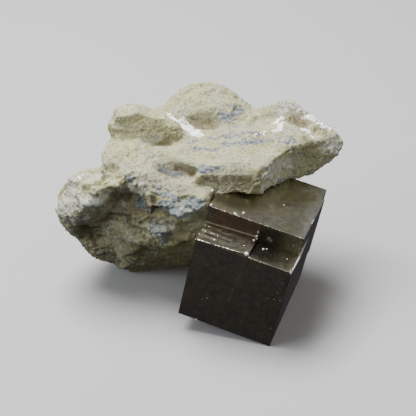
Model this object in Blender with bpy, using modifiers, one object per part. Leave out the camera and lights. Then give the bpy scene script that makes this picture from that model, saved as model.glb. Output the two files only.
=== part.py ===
"""A stepped pyrite cube held in its loose piece of marl, at real size.

The piece lies as it would on a table: on the crystal's lower right edge and on the flat foot of the rock.
All sizes are in millimetres, measured from the crystal's lowest front corner, and scaled to metres at the end.
"""

import bpy
import bmesh
from math import radians
from mathutils import Matrix, Vector, noise

MM = 0.001

# Crystal, in its own axes: width to the right, depth to the back, height up.
CRYSTAL_WIDTH = 18.0
CRYSTAL_DEPTH = 23.5
CRYSTAL_HEIGHT = 21.25
FRONT_HEIGHT = 17.5          # height of the lower block in front
LEDGE_DEPTH = 5.7            # how far the tall block stands back from the front face
CRYSTAL_TURN = -17.8         # degrees about the vertical
CRYSTAL_ROLL = 11.5          # degrees about its own depth axis, right side down

# Growth terraces on the left half of the ledge. They fan out to the left.
TERRACE_LENGTH = 9.9
TERRACE_RISE = 0.13
TERRACE_TILT = 3.3           # degrees, rising to the right
TERRACE_EDGES = ((0.04, 0.04), (1.7, 1.0), (3.2, 2.1), (4.8, 3.3))   # depth at the left end, at the right end

# Thin growth plate on the upper part of the right face. It thickens to the back and ends in a small step.
PLATE_BACK = 20.1            # where it ends, from the front face
PLATE_HEIGHT = 12.0
PLATE_FLARE = 1.8            # degrees
PLATE_EDGE = 0.02            # how far its edges keep back from the block's own

OVERLAP = 1.5                # how far a joined block's hidden end runs into its neighbour

SOCKET_GAP = 0.3             # clearance between the crystal and the rock round it

# Rock, as overlapping angular blocks. Each is the hull of its own corners.
ROCK_BLOCKS = {
    "main body": (
        (-31.2, 17.0, 27.6), (-31.4, 21.0, 28.2), (-30.2, 26.4, 28.8), (-14.5, 15.4, 27.8),
        (-4.8, 15.4, 28.0), (-24.0, 33.0, 31.2), (-8.0, 36.0, 32.2), (-2.6, 35.0, 31.2),
        (-2.0, 24.0, 29.6), (-26.8, 24.0, -1.0), (-19.0, 24.8, -1.0), (-13.0, 28.0, -1.0),
        (-13.0, 33.0, -1.0), (-25.0, 31.0, -1.0), (-30.8, 28.0, 14.0), (-2.0, 33.0, 14.0),
    ),
    "front terrace": (
        (-30.4, 16.8, 26.8), (-27.0, 16.6, 27.6), (-24.6, 14.8, 25.6), (-16.6, 13.4, 23.8),
        (-11.4, 13.0, 24.0), (-8.0, 13.4, 24.9), (-8.0, 20.0, 25.6), (-22.0, 16.8, 27.7),
        (-13.0, 16.0, 26.4),
        (-17.6, 12.2, 20.4), (-26.5, 14.0, 20.8),
        (-12.0, 12.4, 19.0), (-27.5, 15.8, 12.5), (-19.5, 14.2, 13.0), (-11.0, 15.6, 12.6),
        (-29.0, 23.2, 1.2), (-17.0, 24.5, 0.5), (-11.0, 25.0, 5.0),
    ),
    "front shelf": (
        (-23.4, 13.6, 22.3), (-21.6, 12.0, 22.2), (-19.6, 11.4, 22.6), (-17.0, 9.9, 22.6),
        (-14.4, 10.0, 23.4), (-12.2, 10.5, 23.9), (-11.0, 11.6, 24.6), (-22.6, 16.2, 27.0),
        (-16.0, 15.8, 27.0), (-10.2, 14.4, 26.0), (-21.6, 14.0, 20.6), (-17.4, 12.4, 20.2),
        (-12.6, 12.6, 21.0), (-20.0, 18.0, 22.0), (-12.0, 18.0, 22.0),
    ),
    "left lobe": (
        (-40.4, 20.0, 16.2), (-39.8, 21.4, 20.2), (-38.0, 21.4, 23.4), (-35.0, 21.6, 25.2),
        (-31.5, 20.0, 26.2), (-37.0, 16.8, 18.0), (-31.4, 14.2, 24.8), (-27.3, 13.8, 26.2),
        (-39.5, 20.2, 13.4), (-36.7, 20.6, 8.6), (-33.8, 21.4, 5.0), (-28.0, 23.4, 1.0),
        (-37.4, 28.0, 18.0), (-34.0, 30.0, 8.0), (-27.0, 31.0, 1.0), (-31.5, 29.0, 21.0),
    ),
    "upper slab": (
        (-29.6, 25.8, 29.6), (-30.4, 28.6, 30.2), (-28.9, 27.2, 33.8), (-28.8, 29.8, 34.2),
        (-26.0, 30.2, 33.9), (-24.4, 27.4, 34.3), (-22.0, 31.5, 32.9), (-19.2, 26.3, 32.9),
        (-16.5, 25.4, 31.6), (-15.5, 24.0, 29.6), (-22.0, 24.6, 29.4), (-28.0, 34.0, 31.0),
        (-18.0, 34.0, 31.6), (-29.8, 33.0, 24.0),
    ),
    "back knob": (
        (-13.0, 37.6, 35.6), (-10.3, 37.4, 35.5), (-16.0, 37.0, 35.1), (-18.2, 35.4, 34.3),
        (-19.9, 33.6, 33.1), (-7.7, 37.2, 34.6), (-5.8, 36.8, 33.3), (-4.0, 36.0, 32.2),
        (-2.2, 35.0, 31.2), (-17.5, 29.0, 31.4), (-6.0, 29.5, 31.2), (-18.0, 39.2, 28.0),
        (-7.6, 39.8, 28.0), (-20.0, 36.0, 24.0), (-19.0, 31.0, 4.0), (-9.0, 31.6, 4.0),
        (-2.8, 37.0, 24.0),
    ),
    "nose": (
        (-13.4, 14.8, 27.2), (-5.2, 14.2, 27.6), (-2.4, 14.4, 27.3), (-1.2, 17.4, 28.5),
        (-11.0, 13.6, 24.9), (-6.4, 13.9, 24.3), (-3.6, 13.8, 23.8), (-1.9, 15.2, 23.4),
        (3.2, 21.6, 29.2), (1.6, 19.4, 22.7), (4.6, 22.8, 22.2), (-2.0, 30.0, 29.8),
        (-12.0, 28.0, 26.0),
    ),
    "right ridge": (
        (3.0, 21.6, 29.3), (6.2, 24.0, 29.6), (9.6, 24.6, 29.4), (4.4, 22.6, 22.2),
        (7.8, 24.0, 21.8), (9.2, 30.4, 31.6), (7.3, 32.0, 33.0), (5.1, 33.6, 33.7),
        (0.8, 34.0, 32.6), (-2.6, 34.0, 31.4), (-3.0, 28.0, 26.0), (8.6, 34.0, 25.0),
        (2.0, 36.4, 24.0), (6.6, 31.0, 20.0), (10.4, 27.0, 22.6),
    ),
    "right tip": (
        (6.2, 24.0, 29.0), (10.2, 24.9, 29.6), (11.7, 28.0, 31.2), (12.7, 27.8, 30.0),
        (14.0, 25.8, 28.7), (14.1, 26.4, 27.2), (12.7, 25.4, 25.4), (10.6, 24.8, 23.2),
        (8.0, 24.2, 21.8), (9.0, 29.8, 31.0), (12.6, 31.6, 27.0), (9.0, 32.0, 22.0),
    ),
    "back root": (
        (3.6, 23.0, 19.0), (3.0, 33.6, 17.0), (-1.0, 34.6, 7.0), (-12.0, 27.4, 0.6),
        (-7.0, 34.0, 2.4), (-1.0, 25.0, 7.0), (-14.0, 33.0, 0.4), (4.4, 31.0, 24.0),
    ),
}

# Hollows, crevices and ribs pressed into the rock: start, end, reach and depth. A negative depth is a rib.
ROCK_RELIEF = {
    "left crevice": ((-32.2, 20.2, 25.9), (-28.4, 17.6, 26.9), 1.4, 0.9),
    "middle crevice": ((-20.4, 18.6, 27.4), (-15.0, 16.6, 27.2), 1.6, 1.2),
    "nose crevice": ((-14.5, 16.5, 27.2), (-10.2, 16.0, 27.5), 1.1, 0.8),
    "slab foot": ((-22.4, 25.2, 29.0), (-17.0, 25.1, 29.1), 1.6, 1.0),
    "knob hollow": ((-14.0, 29.4, 30.4), (-10.6, 29.9, 30.6), 1.8, 0.8),
    "right hollow": ((2.5, 30.6, 31.1), (5.9, 29.8, 31.3), 2.0, 1.0),
    "right notch": ((8.2, 26.5, 30.7), (11.2, 27.2, 30.1), 1.3, 0.8),
    "glint ridge": ((-2.4, 25.6, 30.0), (3.6, 29.0, 31.0), 1.6, -0.5),
    "ridge recess": ((-28.4, 15.2, 22.8), (-24.6, 14.2, 22.0), 1.8, 2.0),
    "lobe hollow": ((-34.2, 20.2, 12.8), (-32.0, 20.6, 12.0), 2.4, 1.5),
    "lobe pocket": ((-30.4, 19.4, 17.4), (-26.8, 15.7, 16.3), 2.0, 1.0),
    "face boss": ((-20.8, 14.0, 16.0), (-19.4, 13.6, 15.4), 1.8, -1.2),
    "face hollow": ((-16.2, 13.2, 18.2), (-14.8, 13.2, 16.6), 2.0, 0.9),
    "face rib": ((-26.2, 15.2, 12.8), (-15.0, 13.4, 14.8), 1.6, -0.8),
}

ROCK_VOXEL = 0.6             # remeshing size that joins the blocks
ROCK_TRIANGLES = 7400
FOOT_CUT = 120.0             # size of the block that cuts the rock's foot flat, level with the crystal's edge
SWELLS = ((9.0, 0.5), (4.0, 0.4), (2.0, 0.22))   # size and height of the broken surface's swells
BED_SPACING = 2.6            # distance between the marl's bedding planes
BED_DEPTH = 0.3
BED_SLOPE = 0.19             # the beds rise this much to the back
BED_WANDER = (7.0, 1.2)      # size and height of the beds' waves
BED_PATCHES = 6.0            # size of the patches where the beds stand out more or less


def clear_scene():
    for leftover in list(bpy.data.objects):
        bpy.data.objects.remove(leftover, do_unlink=True)


def collection(name):
    made = bpy.data.collections.new(name)
    bpy.context.scene.collection.children.link(made)
    return made


def finish_material(name, colour, roughness, metallic):
    material = bpy.data.materials.new(name)
    material.use_nodes = True
    shader = material.node_tree.nodes["Principled BSDF"]
    shader.inputs["Base Color"].default_value = (*colour, 1.0)
    shader.inputs["Roughness"].default_value = roughness
    shader.inputs["Metallic"].default_value = metallic
    return material


def add_object(name, mesh, home, material=None):
    made = bpy.data.objects.new(name, mesh)
    home.objects.link(made)
    if material:
        mesh.materials.append(material)
    return made


def hide_as_cutter(cutter):
    cutter.hide_render = True
    cutter.display_type = "WIRE"


def crystal_frame():
    """Where the crystal's own axes stand: its lower right front corner is the starting point."""
    turn = Matrix.Rotation(radians(CRYSTAL_TURN), 4, "Z")
    roll = Matrix.Rotation(radians(CRYSTAL_ROLL), 4, "Y")
    return turn @ roll


def box_object(name, low, high, home, spin=0.0, tilt=0.0):
    """A box between two corners in the crystal's axes, turned and tilted about its near left top corner."""
    bm = bmesh.new()
    bmesh.ops.create_cube(bm, size=1.0)
    size = Vector(high) - Vector(low)
    bmesh.ops.scale(bm, vec=size, verts=bm.verts)
    bmesh.ops.translate(bm, vec=size / 2, verts=bm.verts)
    pivot = (0, 0, size.z)
    bmesh.ops.rotate(bm, cent=pivot, matrix=Matrix.Rotation(-tilt, 3, "Y"), verts=bm.verts)
    bmesh.ops.rotate(bm, cent=pivot, matrix=Matrix.Rotation(spin, 3, "Z"), verts=bm.verts)
    bmesh.ops.translate(bm, vec=Vector(low), verts=bm.verts)
    bmesh.ops.scale(bm, vec=(MM, MM, MM), verts=bm.verts)
    mesh = bpy.data.meshes.new(name)
    bm.to_mesh(mesh)
    bm.free()
    made = add_object(name, mesh, home)
    made.matrix_world = crystal_frame()
    return made


def boolean(target, operation, cutter):
    step = target.modifiers.new(cutter.name, "BOOLEAN")
    step.operation = operation
    step.solver = "EXACT"
    step.object = cutter
    hide_as_cutter(cutter)


def make_crystal(home, cutters):
    left = -CRYSTAL_WIDTH
    crystal = box_object(
        "pyrite_crystal", (left, LEDGE_DEPTH, 0), (0, CRYSTAL_DEPTH, CRYSTAL_HEIGHT), home)
    crystal.data.materials.append(finish_material("pyrite", (0.34, 0.30, 0.22), 0.12, 1.0))
    front = box_object("front_block", (left, 0, 0), (0, LEDGE_DEPTH + OVERLAP, FRONT_HEIGHT), cutters)
    boolean(crystal, "UNION", front)
    for count, (depth_left, depth_right) in enumerate(TERRACE_EDGES):
        terrace = box_object(
            f"terrace_{count + 1}",
            (left, depth_left, FRONT_HEIGHT - OVERLAP),
            (left + TERRACE_LENGTH, LEDGE_DEPTH + OVERLAP, FRONT_HEIGHT + count * TERRACE_RISE),
            cutters,
            spin=(depth_right - depth_left) / TERRACE_LENGTH,
            tilt=radians(TERRACE_TILT))
        boolean(crystal, "UNION", terrace)
    plate = box_object(
        "right_plate",
        (-OVERLAP, LEDGE_DEPTH + PLATE_EDGE, CRYSTAL_HEIGHT - PLATE_HEIGHT),
        (0, PLATE_BACK, CRYSTAL_HEIGHT - PLATE_EDGE),
        cutters,
        spin=-radians(PLATE_FLARE))
    boolean(crystal, "UNION", plate)
    trim = box_object(
        "left_trim", (left - OVERLAP, -OVERLAP, 0), (left, CRYSTAL_DEPTH, CRYSTAL_HEIGHT), cutters)
    boolean(crystal, "DIFFERENCE", trim)
    return crystal


def block_hulls():
    """All the rock's blocks in one mesh, still overlapping."""
    bm = bmesh.new()
    for corners in ROCK_BLOCKS.values():
        verts = [bm.verts.new(Vector(corner) * MM) for corner in corners]
        hull = bmesh.ops.convex_hull(bm, input=verts)
        inner = [item for item in hull["geom_interior"] if isinstance(item, bmesh.types.BMVert)]
        bmesh.ops.delete(bm, geom=inner, context="VERTS")
    mesh = bpy.data.meshes.new("rock_blocks")
    bm.to_mesh(mesh)
    bm.free()
    return mesh


def evaluated_mesh(source):
    depsgraph = bpy.context.evaluated_depsgraph_get()
    return bpy.data.meshes.new_from_object(source.evaluated_get(depsgraph))


def distance_to_segment(point, start, end):
    along = end - start
    share = max(0.0, min(1.0, (point - start).dot(along) / along.length_squared))
    return (point - start - along * share).length


def relief(point, steepness):
    """How far the broken surface stands out at a point, in millimetres."""
    height = 0.0
    for size, amount in SWELLS:
        height += amount * noise.noise(point / size)
    wave_size, wave_height = BED_WANDER
    wander = wave_height * noise.noise(point / wave_size + Vector((5.0, 1.0, 3.0)))
    bed = (point.z - BED_SLOPE * point.y + wander) / BED_SPACING
    zigzag = abs((bed % 1.0) * 2 - 1) * 2 - 1
    patchy = 0.5 + noise.noise(point / BED_PATCHES + Vector((2.0, 9.0, 4.0)))
    height += steepness * patchy * BED_DEPTH * zigzag
    for start, end, reach, depth in ROCK_RELIEF.values():
        distance = distance_to_segment(point, Vector(start), Vector(end))
        if distance < 2 * reach:
            fade = max(0.0, 1 - (distance / (2 * reach)) ** 2)
            height -= depth * fade ** 2
    return height


def roughen(mesh):
    bm = bmesh.new()
    bm.from_mesh(mesh)
    bmesh.ops.smooth_vert(bm, verts=bm.verts, factor=0.5, use_axis_x=True, use_axis_y=True, use_axis_z=True)
    bm.normal_update()
    moves = []
    for vert in bm.verts:
        steepness = 1 - abs(vert.normal.z)
        moves.append(vert.normal * relief(vert.co / MM, steepness) * MM)
    for vert, move in zip(bm.verts, moves):
        vert.co += move
    bm.to_mesh(mesh)
    bm.free()


def make_rock(home, cutters):
    draft = add_object("rock_draft", block_hulls(), cutters)
    joined = draft.modifiers.new("join blocks", "REMESH")
    joined.mode = "VOXEL"
    joined.voxel_size = ROCK_VOXEL * MM
    fine = evaluated_mesh(draft)
    bpy.data.objects.remove(draft, do_unlink=True)
    roughen(fine)
    fine.materials.clear()
    rock = add_object(
        "marl_matrix", fine, home, finish_material("marl", (0.52, 0.46, 0.33), 0.9, 0.0))
    thinned = rock.modifiers.new("fewer faces", "DECIMATE")
    thinned.ratio = ROCK_TRIANGLES / (2 * len(fine.polygons))
    socket = box_object(
        "crystal_socket",
        (-CRYSTAL_WIDTH - SOCKET_GAP, -SOCKET_GAP, -SOCKET_GAP),
        (SOCKET_GAP, CRYSTAL_DEPTH + SOCKET_GAP, CRYSTAL_HEIGHT + SOCKET_GAP), cutters)
    boolean(rock, "DIFFERENCE", socket)
    below = add_object("below_foot", bpy.data.meshes.new("below_foot"), cutters)
    bm = bmesh.new()
    bmesh.ops.create_cube(bm, size=FOOT_CUT * MM)
    bmesh.ops.translate(bm, vec=(0, 0, -FOOT_CUT / 2 * MM), verts=bm.verts)
    bm.to_mesh(below.data)
    bm.free()
    boolean(rock, "DIFFERENCE", below)
    return rock


def centre_on_base(parts):
    """Moves the pieces together so that the middle of the underside of their box is the origin."""
    corners = []
    for part in parts:
        mesh = evaluated_mesh(part)
        corners += [part.matrix_world @ vert.co for vert in mesh.vertices]
        bpy.data.meshes.remove(mesh)
    low = Vector(min(corner[axis] for corner in corners) for axis in range(3))
    high = Vector(max(corner[axis] for corner in corners) for axis in range(3))
    shift = Vector((-(low.x + high.x) / 2, -(low.y + high.y) / 2, -low.z))
    for item in bpy.data.objects:
        item.matrix_world = Matrix.Translation(shift) @ item.matrix_world


def main():
    clear_scene()
    home = collection("pyrite cube on marl")
    cutters = collection("cutters")
    crystal = make_crystal(home, cutters)
    rock = make_rock(home, cutters)
    bpy.context.view_layer.update()
    centre_on_base((crystal, rock))


main()
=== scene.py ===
from math import radians

import bmesh
import bpy
from mathutils import Matrix, Vector, noise


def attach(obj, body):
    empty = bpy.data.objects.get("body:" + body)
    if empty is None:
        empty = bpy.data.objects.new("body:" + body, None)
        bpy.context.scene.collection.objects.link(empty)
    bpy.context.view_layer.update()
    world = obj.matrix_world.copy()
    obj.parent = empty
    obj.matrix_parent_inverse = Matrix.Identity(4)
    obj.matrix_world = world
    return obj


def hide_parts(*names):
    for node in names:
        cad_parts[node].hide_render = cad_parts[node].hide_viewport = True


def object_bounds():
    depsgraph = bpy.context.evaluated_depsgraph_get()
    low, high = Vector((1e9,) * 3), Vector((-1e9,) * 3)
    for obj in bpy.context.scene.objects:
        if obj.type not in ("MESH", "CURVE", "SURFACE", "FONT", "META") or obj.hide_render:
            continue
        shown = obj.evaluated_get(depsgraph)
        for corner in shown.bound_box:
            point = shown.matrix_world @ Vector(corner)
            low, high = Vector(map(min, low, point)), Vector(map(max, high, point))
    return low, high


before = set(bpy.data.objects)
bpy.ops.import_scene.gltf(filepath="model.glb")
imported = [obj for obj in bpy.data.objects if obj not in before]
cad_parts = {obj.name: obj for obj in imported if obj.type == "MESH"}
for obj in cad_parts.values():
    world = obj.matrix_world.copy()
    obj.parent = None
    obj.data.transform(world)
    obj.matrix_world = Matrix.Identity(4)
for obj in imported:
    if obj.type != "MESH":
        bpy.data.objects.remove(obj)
cadLow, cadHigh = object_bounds()
mm = 0.001
noise.seed_set(19)    # noise vectors would differ from run to run without it


# Helpers

def say(*words):
    print("stage:", *words)


def lowestCorner(node):
    # The crystal's lowest front corner: all places on the piece are measured from it, in mm
    onFloor = [vert.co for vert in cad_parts[node].data.vertices if vert.co.z < 0.01 * mm]
    return min(onFloor, key=lambda co: co.y).copy()


home = lowestCorner("pyrite_crystal")


def benchPoint(x, y, z):
    return home + Vector((x, y, z)) * mm


def copyOfNode(node, name):
    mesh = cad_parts[node].data.copy()
    mesh.name = name
    mesh.materials.clear()
    bm = bmesh.new()
    bm.from_mesh(mesh)
    bmesh.ops.remove_doubles(bm, verts=bm.verts, dist=0.001 * mm)
    bm.to_mesh(mesh)
    bm.free()
    piece = bpy.data.objects.new(name, mesh)
    bpy.context.scene.collection.objects.link(piece)
    return piece


def settle(piece):
    # Turns a piece's modifiers into plain mesh
    depsgraph = bpy.context.evaluated_depsgraph_get()
    mesh = bpy.data.meshes.new_from_object(piece.evaluated_get(depsgraph))
    old = piece.data
    piece.modifiers.clear()
    piece.data = mesh
    mesh.name = piece.name
    bpy.data.meshes.remove(old)


def distanceToLine(point, start, end):
    along = end - start
    if along.length_squared == 0:
        return (point - start).length
    share = max(0.0, min(1.0, (point - start).dot(along) / along.length_squared))
    return (point - start - along * share).length


def smoothStep(low, high, value):
    share = max(0.0, min(1.0, (value - low) / (high - low)))
    return share * share * (3 - 2 * share)


def storeFloats(mesh, name, values):
    layer = mesh.attributes.new(name, "FLOAT", "POINT")
    layer.data.foreach_set("value", values)


# Node helpers

class Tree:
    def __init__(self, name, kind="material"):
        if kind == "geometry":
            self.owner = tree = bpy.data.node_groups.new(name, "GeometryNodeTree")
        else:
            self.owner = (bpy.data.worlds if kind == "world" else bpy.data.materials).new(name)
            self.owner.use_nodes = True
            tree = self.owner.node_tree
        self.nodes, self.links = tree.nodes, tree.links
        self.shader = self.nodes["Principled BSDF"] if kind == "material" else None

    def add(self, kind, inputs=None, **settings):
        node = self.nodes.new(kind)
        for key, value in settings.items():
            setattr(node, key, value)
        for key, value in (inputs or {}).items():
            self.put(node.inputs[key], value)
        return node

    def put(self, socket, value):
        if isinstance(value, bpy.types.NodeSocket):
            self.links.new(value, socket)
        else:
            socket.default_value = value

    def maths(self, operation, first, second=0.0, clamp=False):
        made = self.add("ShaderNodeMath", {0: first, 1: second}, operation=operation, use_clamp=clamp)
        return made.outputs[0]

    def mixColour(self, share, first, second, blend="MIX"):
        node = self.add("ShaderNodeMix", {"Factor": share}, data_type="RGBA", blend_type=blend)
        self.put(node.inputs[6], first)
        self.put(node.inputs[7], second)
        return node.outputs[2]

    def noise(self, vector, scale, detail=2.0, roughness=0.5):
        made = self.add("ShaderNodeTexNoise", {
            "Vector": vector, "Scale": scale, "Detail": detail, "Roughness": roughness})
        return made.outputs["Fac"]

    def ramp(self, value, low, high):
        return self.add("ShaderNodeMapRange", {
            "Value": value, "From Min": low, "From Max": high}, interpolation_type="SMOOTHSTEP").outputs[0]

    def span(self, value, start=(0.0, 1.0), end=(0.0, 1.0)):
        made = self.add("ShaderNodeMapRange", {
            "Value": value, "From Min": start[0], "From Max": start[1], "To Min": end[0], "To Max": end[1]})
        return made.outputs[0]

    def shaded(self, colour, value):
        values = self.add("ShaderNodeCombineColor", {0: value, 1: value, 2: value}).outputs[0]
        return self.mixColour(1.0, colour, values, "MULTIPLY")

    def millimetres(self, stretch=(1, 1, 1)):
        coords = self.add("ShaderNodeTexCoord").outputs["Object"]
        return self.add("ShaderNodeMapping", {
            "Vector": coords, "Scale": tuple(1 / mm * share for share in stretch)}).outputs[0]

    def attribute(self, name):
        return self.add("ShaderNodeAttribute", attribute_name=name).outputs["Fac"]


# Camera and light

cameraPlace = {"from corner": (-11.25, -172.87, 138.17), "down": 32.05, "focal": 1200 / 416 * 36}


def makeCamera():
    data = bpy.data.cameras.new("camera")
    data.sensor_width = 36
    data.lens = cameraPlace["focal"]
    data.clip_start = 0.01
    camera = bpy.data.objects.new("camera", data)
    camera.location = benchPoint(*cameraPlace["from corner"])
    camera.rotation_euler = (radians(90 - cameraPlace["down"]), 0, 0)
    bpy.context.scene.collection.objects.link(camera)
    bpy.context.scene.camera = camera


lamps = {
    "overhead": {"at": (-0.10, 0.10, 0.42), "size": (0.30, 0.22), "watts": 4.2, "colour": (1.0, 0.985, 0.96)},
    "left": {"at": (-0.36, -0.14, 0.22), "size": (0.20, 0.20), "watts": 0.9, "colour": (0.94, 0.97, 1.0)},
    "right": {"at": (0.36, -0.16, 0.10), "size": (0.20, 0.16), "watts": 0.35, "colour": (1.0, 1.0, 1.0)},
}


def makeLamps():
    target = Vector((0, 0, 0.02))
    for name, lamp in lamps.items():
        data = bpy.data.lights.new(name, "AREA")
        data.shape = "RECTANGLE"
        data.size, data.size_y = lamp["size"]
        data.energy = lamp["watts"]
        data.color = lamp["colour"]
        made = bpy.data.objects.new(name, data)
        made.location = lamp["at"]
        made.rotation_euler = (target - made.location).to_track_quat("-Z", "Y").to_euler()
        bpy.context.scene.collection.objects.link(made)


# World light by height of direction, from straight down to straight up, and high behind the piece
worldLooks = {
    "stops": ((0.0, (0.008, 0.007, 0.006)), (0.14, (0.012, 0.011, 0.011)), (0.24, (0.078, 0.074, 0.086)),
              (0.34, (0.080, 0.078, 0.086)), (0.46, (0.08, 0.08, 0.085)), (0.58, (0.08, 0.08, 0.085)),
              (0.66, (0.045, 0.045, 0.047)), (0.95, (0.30, 0.30, 0.30))),
    "back": (0.33, 0.33, 0.34),
    "behind": (0.2, 0.9),
    "above": (0.1, 0.6),
}


def makeWorld():
    tree = Tree("studio", "world")
    bpy.context.scene.world = tree.owner
    coords = tree.add("ShaderNodeTexCoord").outputs["Generated"]
    direction = tree.add("ShaderNodeSeparateXYZ", {0: coords}).outputs
    ramp = tree.add("ShaderNodeValToRGB", {0: tree.span(direction["Z"], (-1.0, 1.0))})
    stops = ramp.color_ramp.elements
    for count, (position, colour) in enumerate(worldLooks["stops"]):
        stop = stops[count] if count == 0 else stops.new(position)
        stop.position, stop.color = position, (*colour, 1)
    stops.remove(stops[-1])
    behind = tree.span(direction["Y"], worldLooks["behind"])
    above = tree.span(direction["Z"], worldLooks["above"])
    light = tree.mixColour(tree.maths("MULTIPLY", behind, above), ramp.outputs[0], (*worldLooks["back"], 1))
    tree.put(tree.nodes["Background"].inputs["Color"], light)


floorLooks = {"half width": 0.9, "colour": (0.52, 0.52, 0.53)}


def makeFloor():
    half = floorLooks["half width"]
    bm = bmesh.new()
    bmesh.ops.create_grid(bm, x_segments=1, y_segments=1, size=half)
    mesh = bpy.data.meshes.new("floor")
    bm.to_mesh(mesh)
    bm.free()
    floor = bpy.data.objects.new("floor", mesh)
    floor.location.z = cadLow.z
    tree = Tree("floor paint")
    tree.shader.inputs["Base Color"].default_value = (*floorLooks["colour"], 1)
    tree.shader.inputs["Roughness"].default_value = 0.9
    mesh.materials.append(tree.owner)
    floor.visible_glossy = False
    floor.visible_diffuse = False
    bpy.context.scene.collection.objects.link(floor)


makeCamera()
makeLamps()
makeWorld()
makeFloor()
say("camera and light")


# Marl

marl = {
    "voxel": 0.27,
    "swells": ((5.0, 0.22), (2.3, 0.14), (1.1, 0.09), (0.6, 0.05)),
    "facets": ((4.2, 0.34), (1.7, 0.18), (0.8, 0.12)),      # size of the broken faces, how far they stand out
    "bed slope": 0.19,
    "beds": ((2.1, 0.26, 3.0), (0.85, 0.10, 2.0)),    # spacing, how far they stand out, size of their waves
    "terraces": (0.8, 0.45),                          # step between the broken sheets on top, sharpness
    "lump size": 1.25,
    "lumps": 0.52,
    "crumb size": 0.45,
    "spar crumbs": 0.45,                              # how far crumbs stand out on spar
    "steep crumbs": 0.32,                             # and on steep faces
    "gap": 0.3,
    "contact": 0.03,
    "foot blend": 1.2,                                # height over which the relief fades in above the foot
}

# Start, end, reach and depth of each hollow; a negative depth is a rib
marlRelief = {
    "crystal rim": ((-10.3, 13.8, 25.8), (-11.9, 11.6, 24.2), 0.7, -0.3),
    "nose foot": ((-14.2, 16.7, 26.6), (-9.4, 16.0, 27.3), 0.7, 0.5),
    "upper crevice": ((-20.4, 24.8, 29.3), (-17.0, 24.9, 29.4), 0.7, 0.4),
    "slab foot": ((-25.5, 25.2, 29.6), (-20.5, 25.2, 29.6), 0.9, -0.5),
    "lobe fill": ((-29.8, 19.4, 11.0), (-29.6, 18.4, 15.6), 1.6, -0.7),
    "brow rib": ((-31.5, 15.6, 22.6), (-27.0, 15.8, 23.4), 1.1, -1.0),
    "lobe rib": ((-34.4, 15.9, 20.6), (-32.0, 15.4, 21.6), 0.9, -0.7),
    "terrace rib": ((-25.4, 15.0, 24.0), (-23.4, 15.0, 24.0), 0.8, -0.7),
    "shelf rib": ((-16.4, 10.8, 22.0), (-12.9, 11.9, 21.6), 1.0, -0.9),
    "wall rib": ((-19.6, 13.0, 17.0), (-14.8, 12.8, 20.2), 1.0, -0.8),
    "wall hollow": ((-26.0, 15.0, 19.4), (-23.2, 14.2, 20.0), 1.4, 1.0),
    "slab spike": ((-29.7, 27.2, 31.6), (-29.4, 27.0, 31.5), 0.7, -0.3),
    "slab notch": ((-29.2, 26.6, 30.1), (-29.0, 26.2, 30.0), 0.7, 0.5),
    "knob foot": ((-9.8, 28.2, 30.9), (-5.6, 29.0, 31.2), 1.0, 0.3),
    "left crevice": ((-31.6, 19.6, 26.4), (-28.4, 17.7, 27.0), 0.7, 0.6),
    "bed hollow": ((-19.6, 17.8, 27.2), (-16.6, 17.0, 27.0), 1.0, 1.0),
    "slab crease": ((-21.6, 24.1, 29.0), (-18.6, 24.3, 29.0), 0.5, 0.7),
    "ridge hollow": ((4.6, 29.8, 31.4), (6.6, 28.6, 31.0), 1.1, 0.9),
    "bed hollow lip": ((-17.0, 18.3, 27.3), (-13.8, 16.9, 26.9), 0.5, 0.5),
    "glint scar": ((-17.6, 29.0, 31.2), (-13.3, 26.4, 30.2), 0.7, 0.35),
    "knob hollow": ((-13.6, 29.2, 30.5), (-10.9, 29.6, 30.7), 1.3, 0.7),
    "shelf underside": ((-20.2, 12.6, 21.4), (-13.6, 12.2, 21.4), 1.0, 0.8),
    "shelf gap": ((-21.2, 13.0, 23.4), (-21.0, 13.2, 21.4), 0.7, 0.8),
    "ridge recess": ((-28.6, 16.6, 22.4), (-24.2, 15.4, 22.6), 1.2, 0.8),
    "lobe hollow": ((-34.6, 20.6, 12.3), (-32.6, 21.2, 10.8), 1.6, 0.6),
    "lobe waves": ((-33.6, 19.4, 15.6), (-29.4, 18.2, 16.2), 0.7, 0.4),
    "ledge": ((-27.4, 17.0, 11.6), (-15.0, 13.4, 13.4), 0.8, 0.7),
    "ledge lip": ((-26.6, 15.6, 13.4), (-15.0, 13.4, 15.0), 0.6, -0.4),
}

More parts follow.
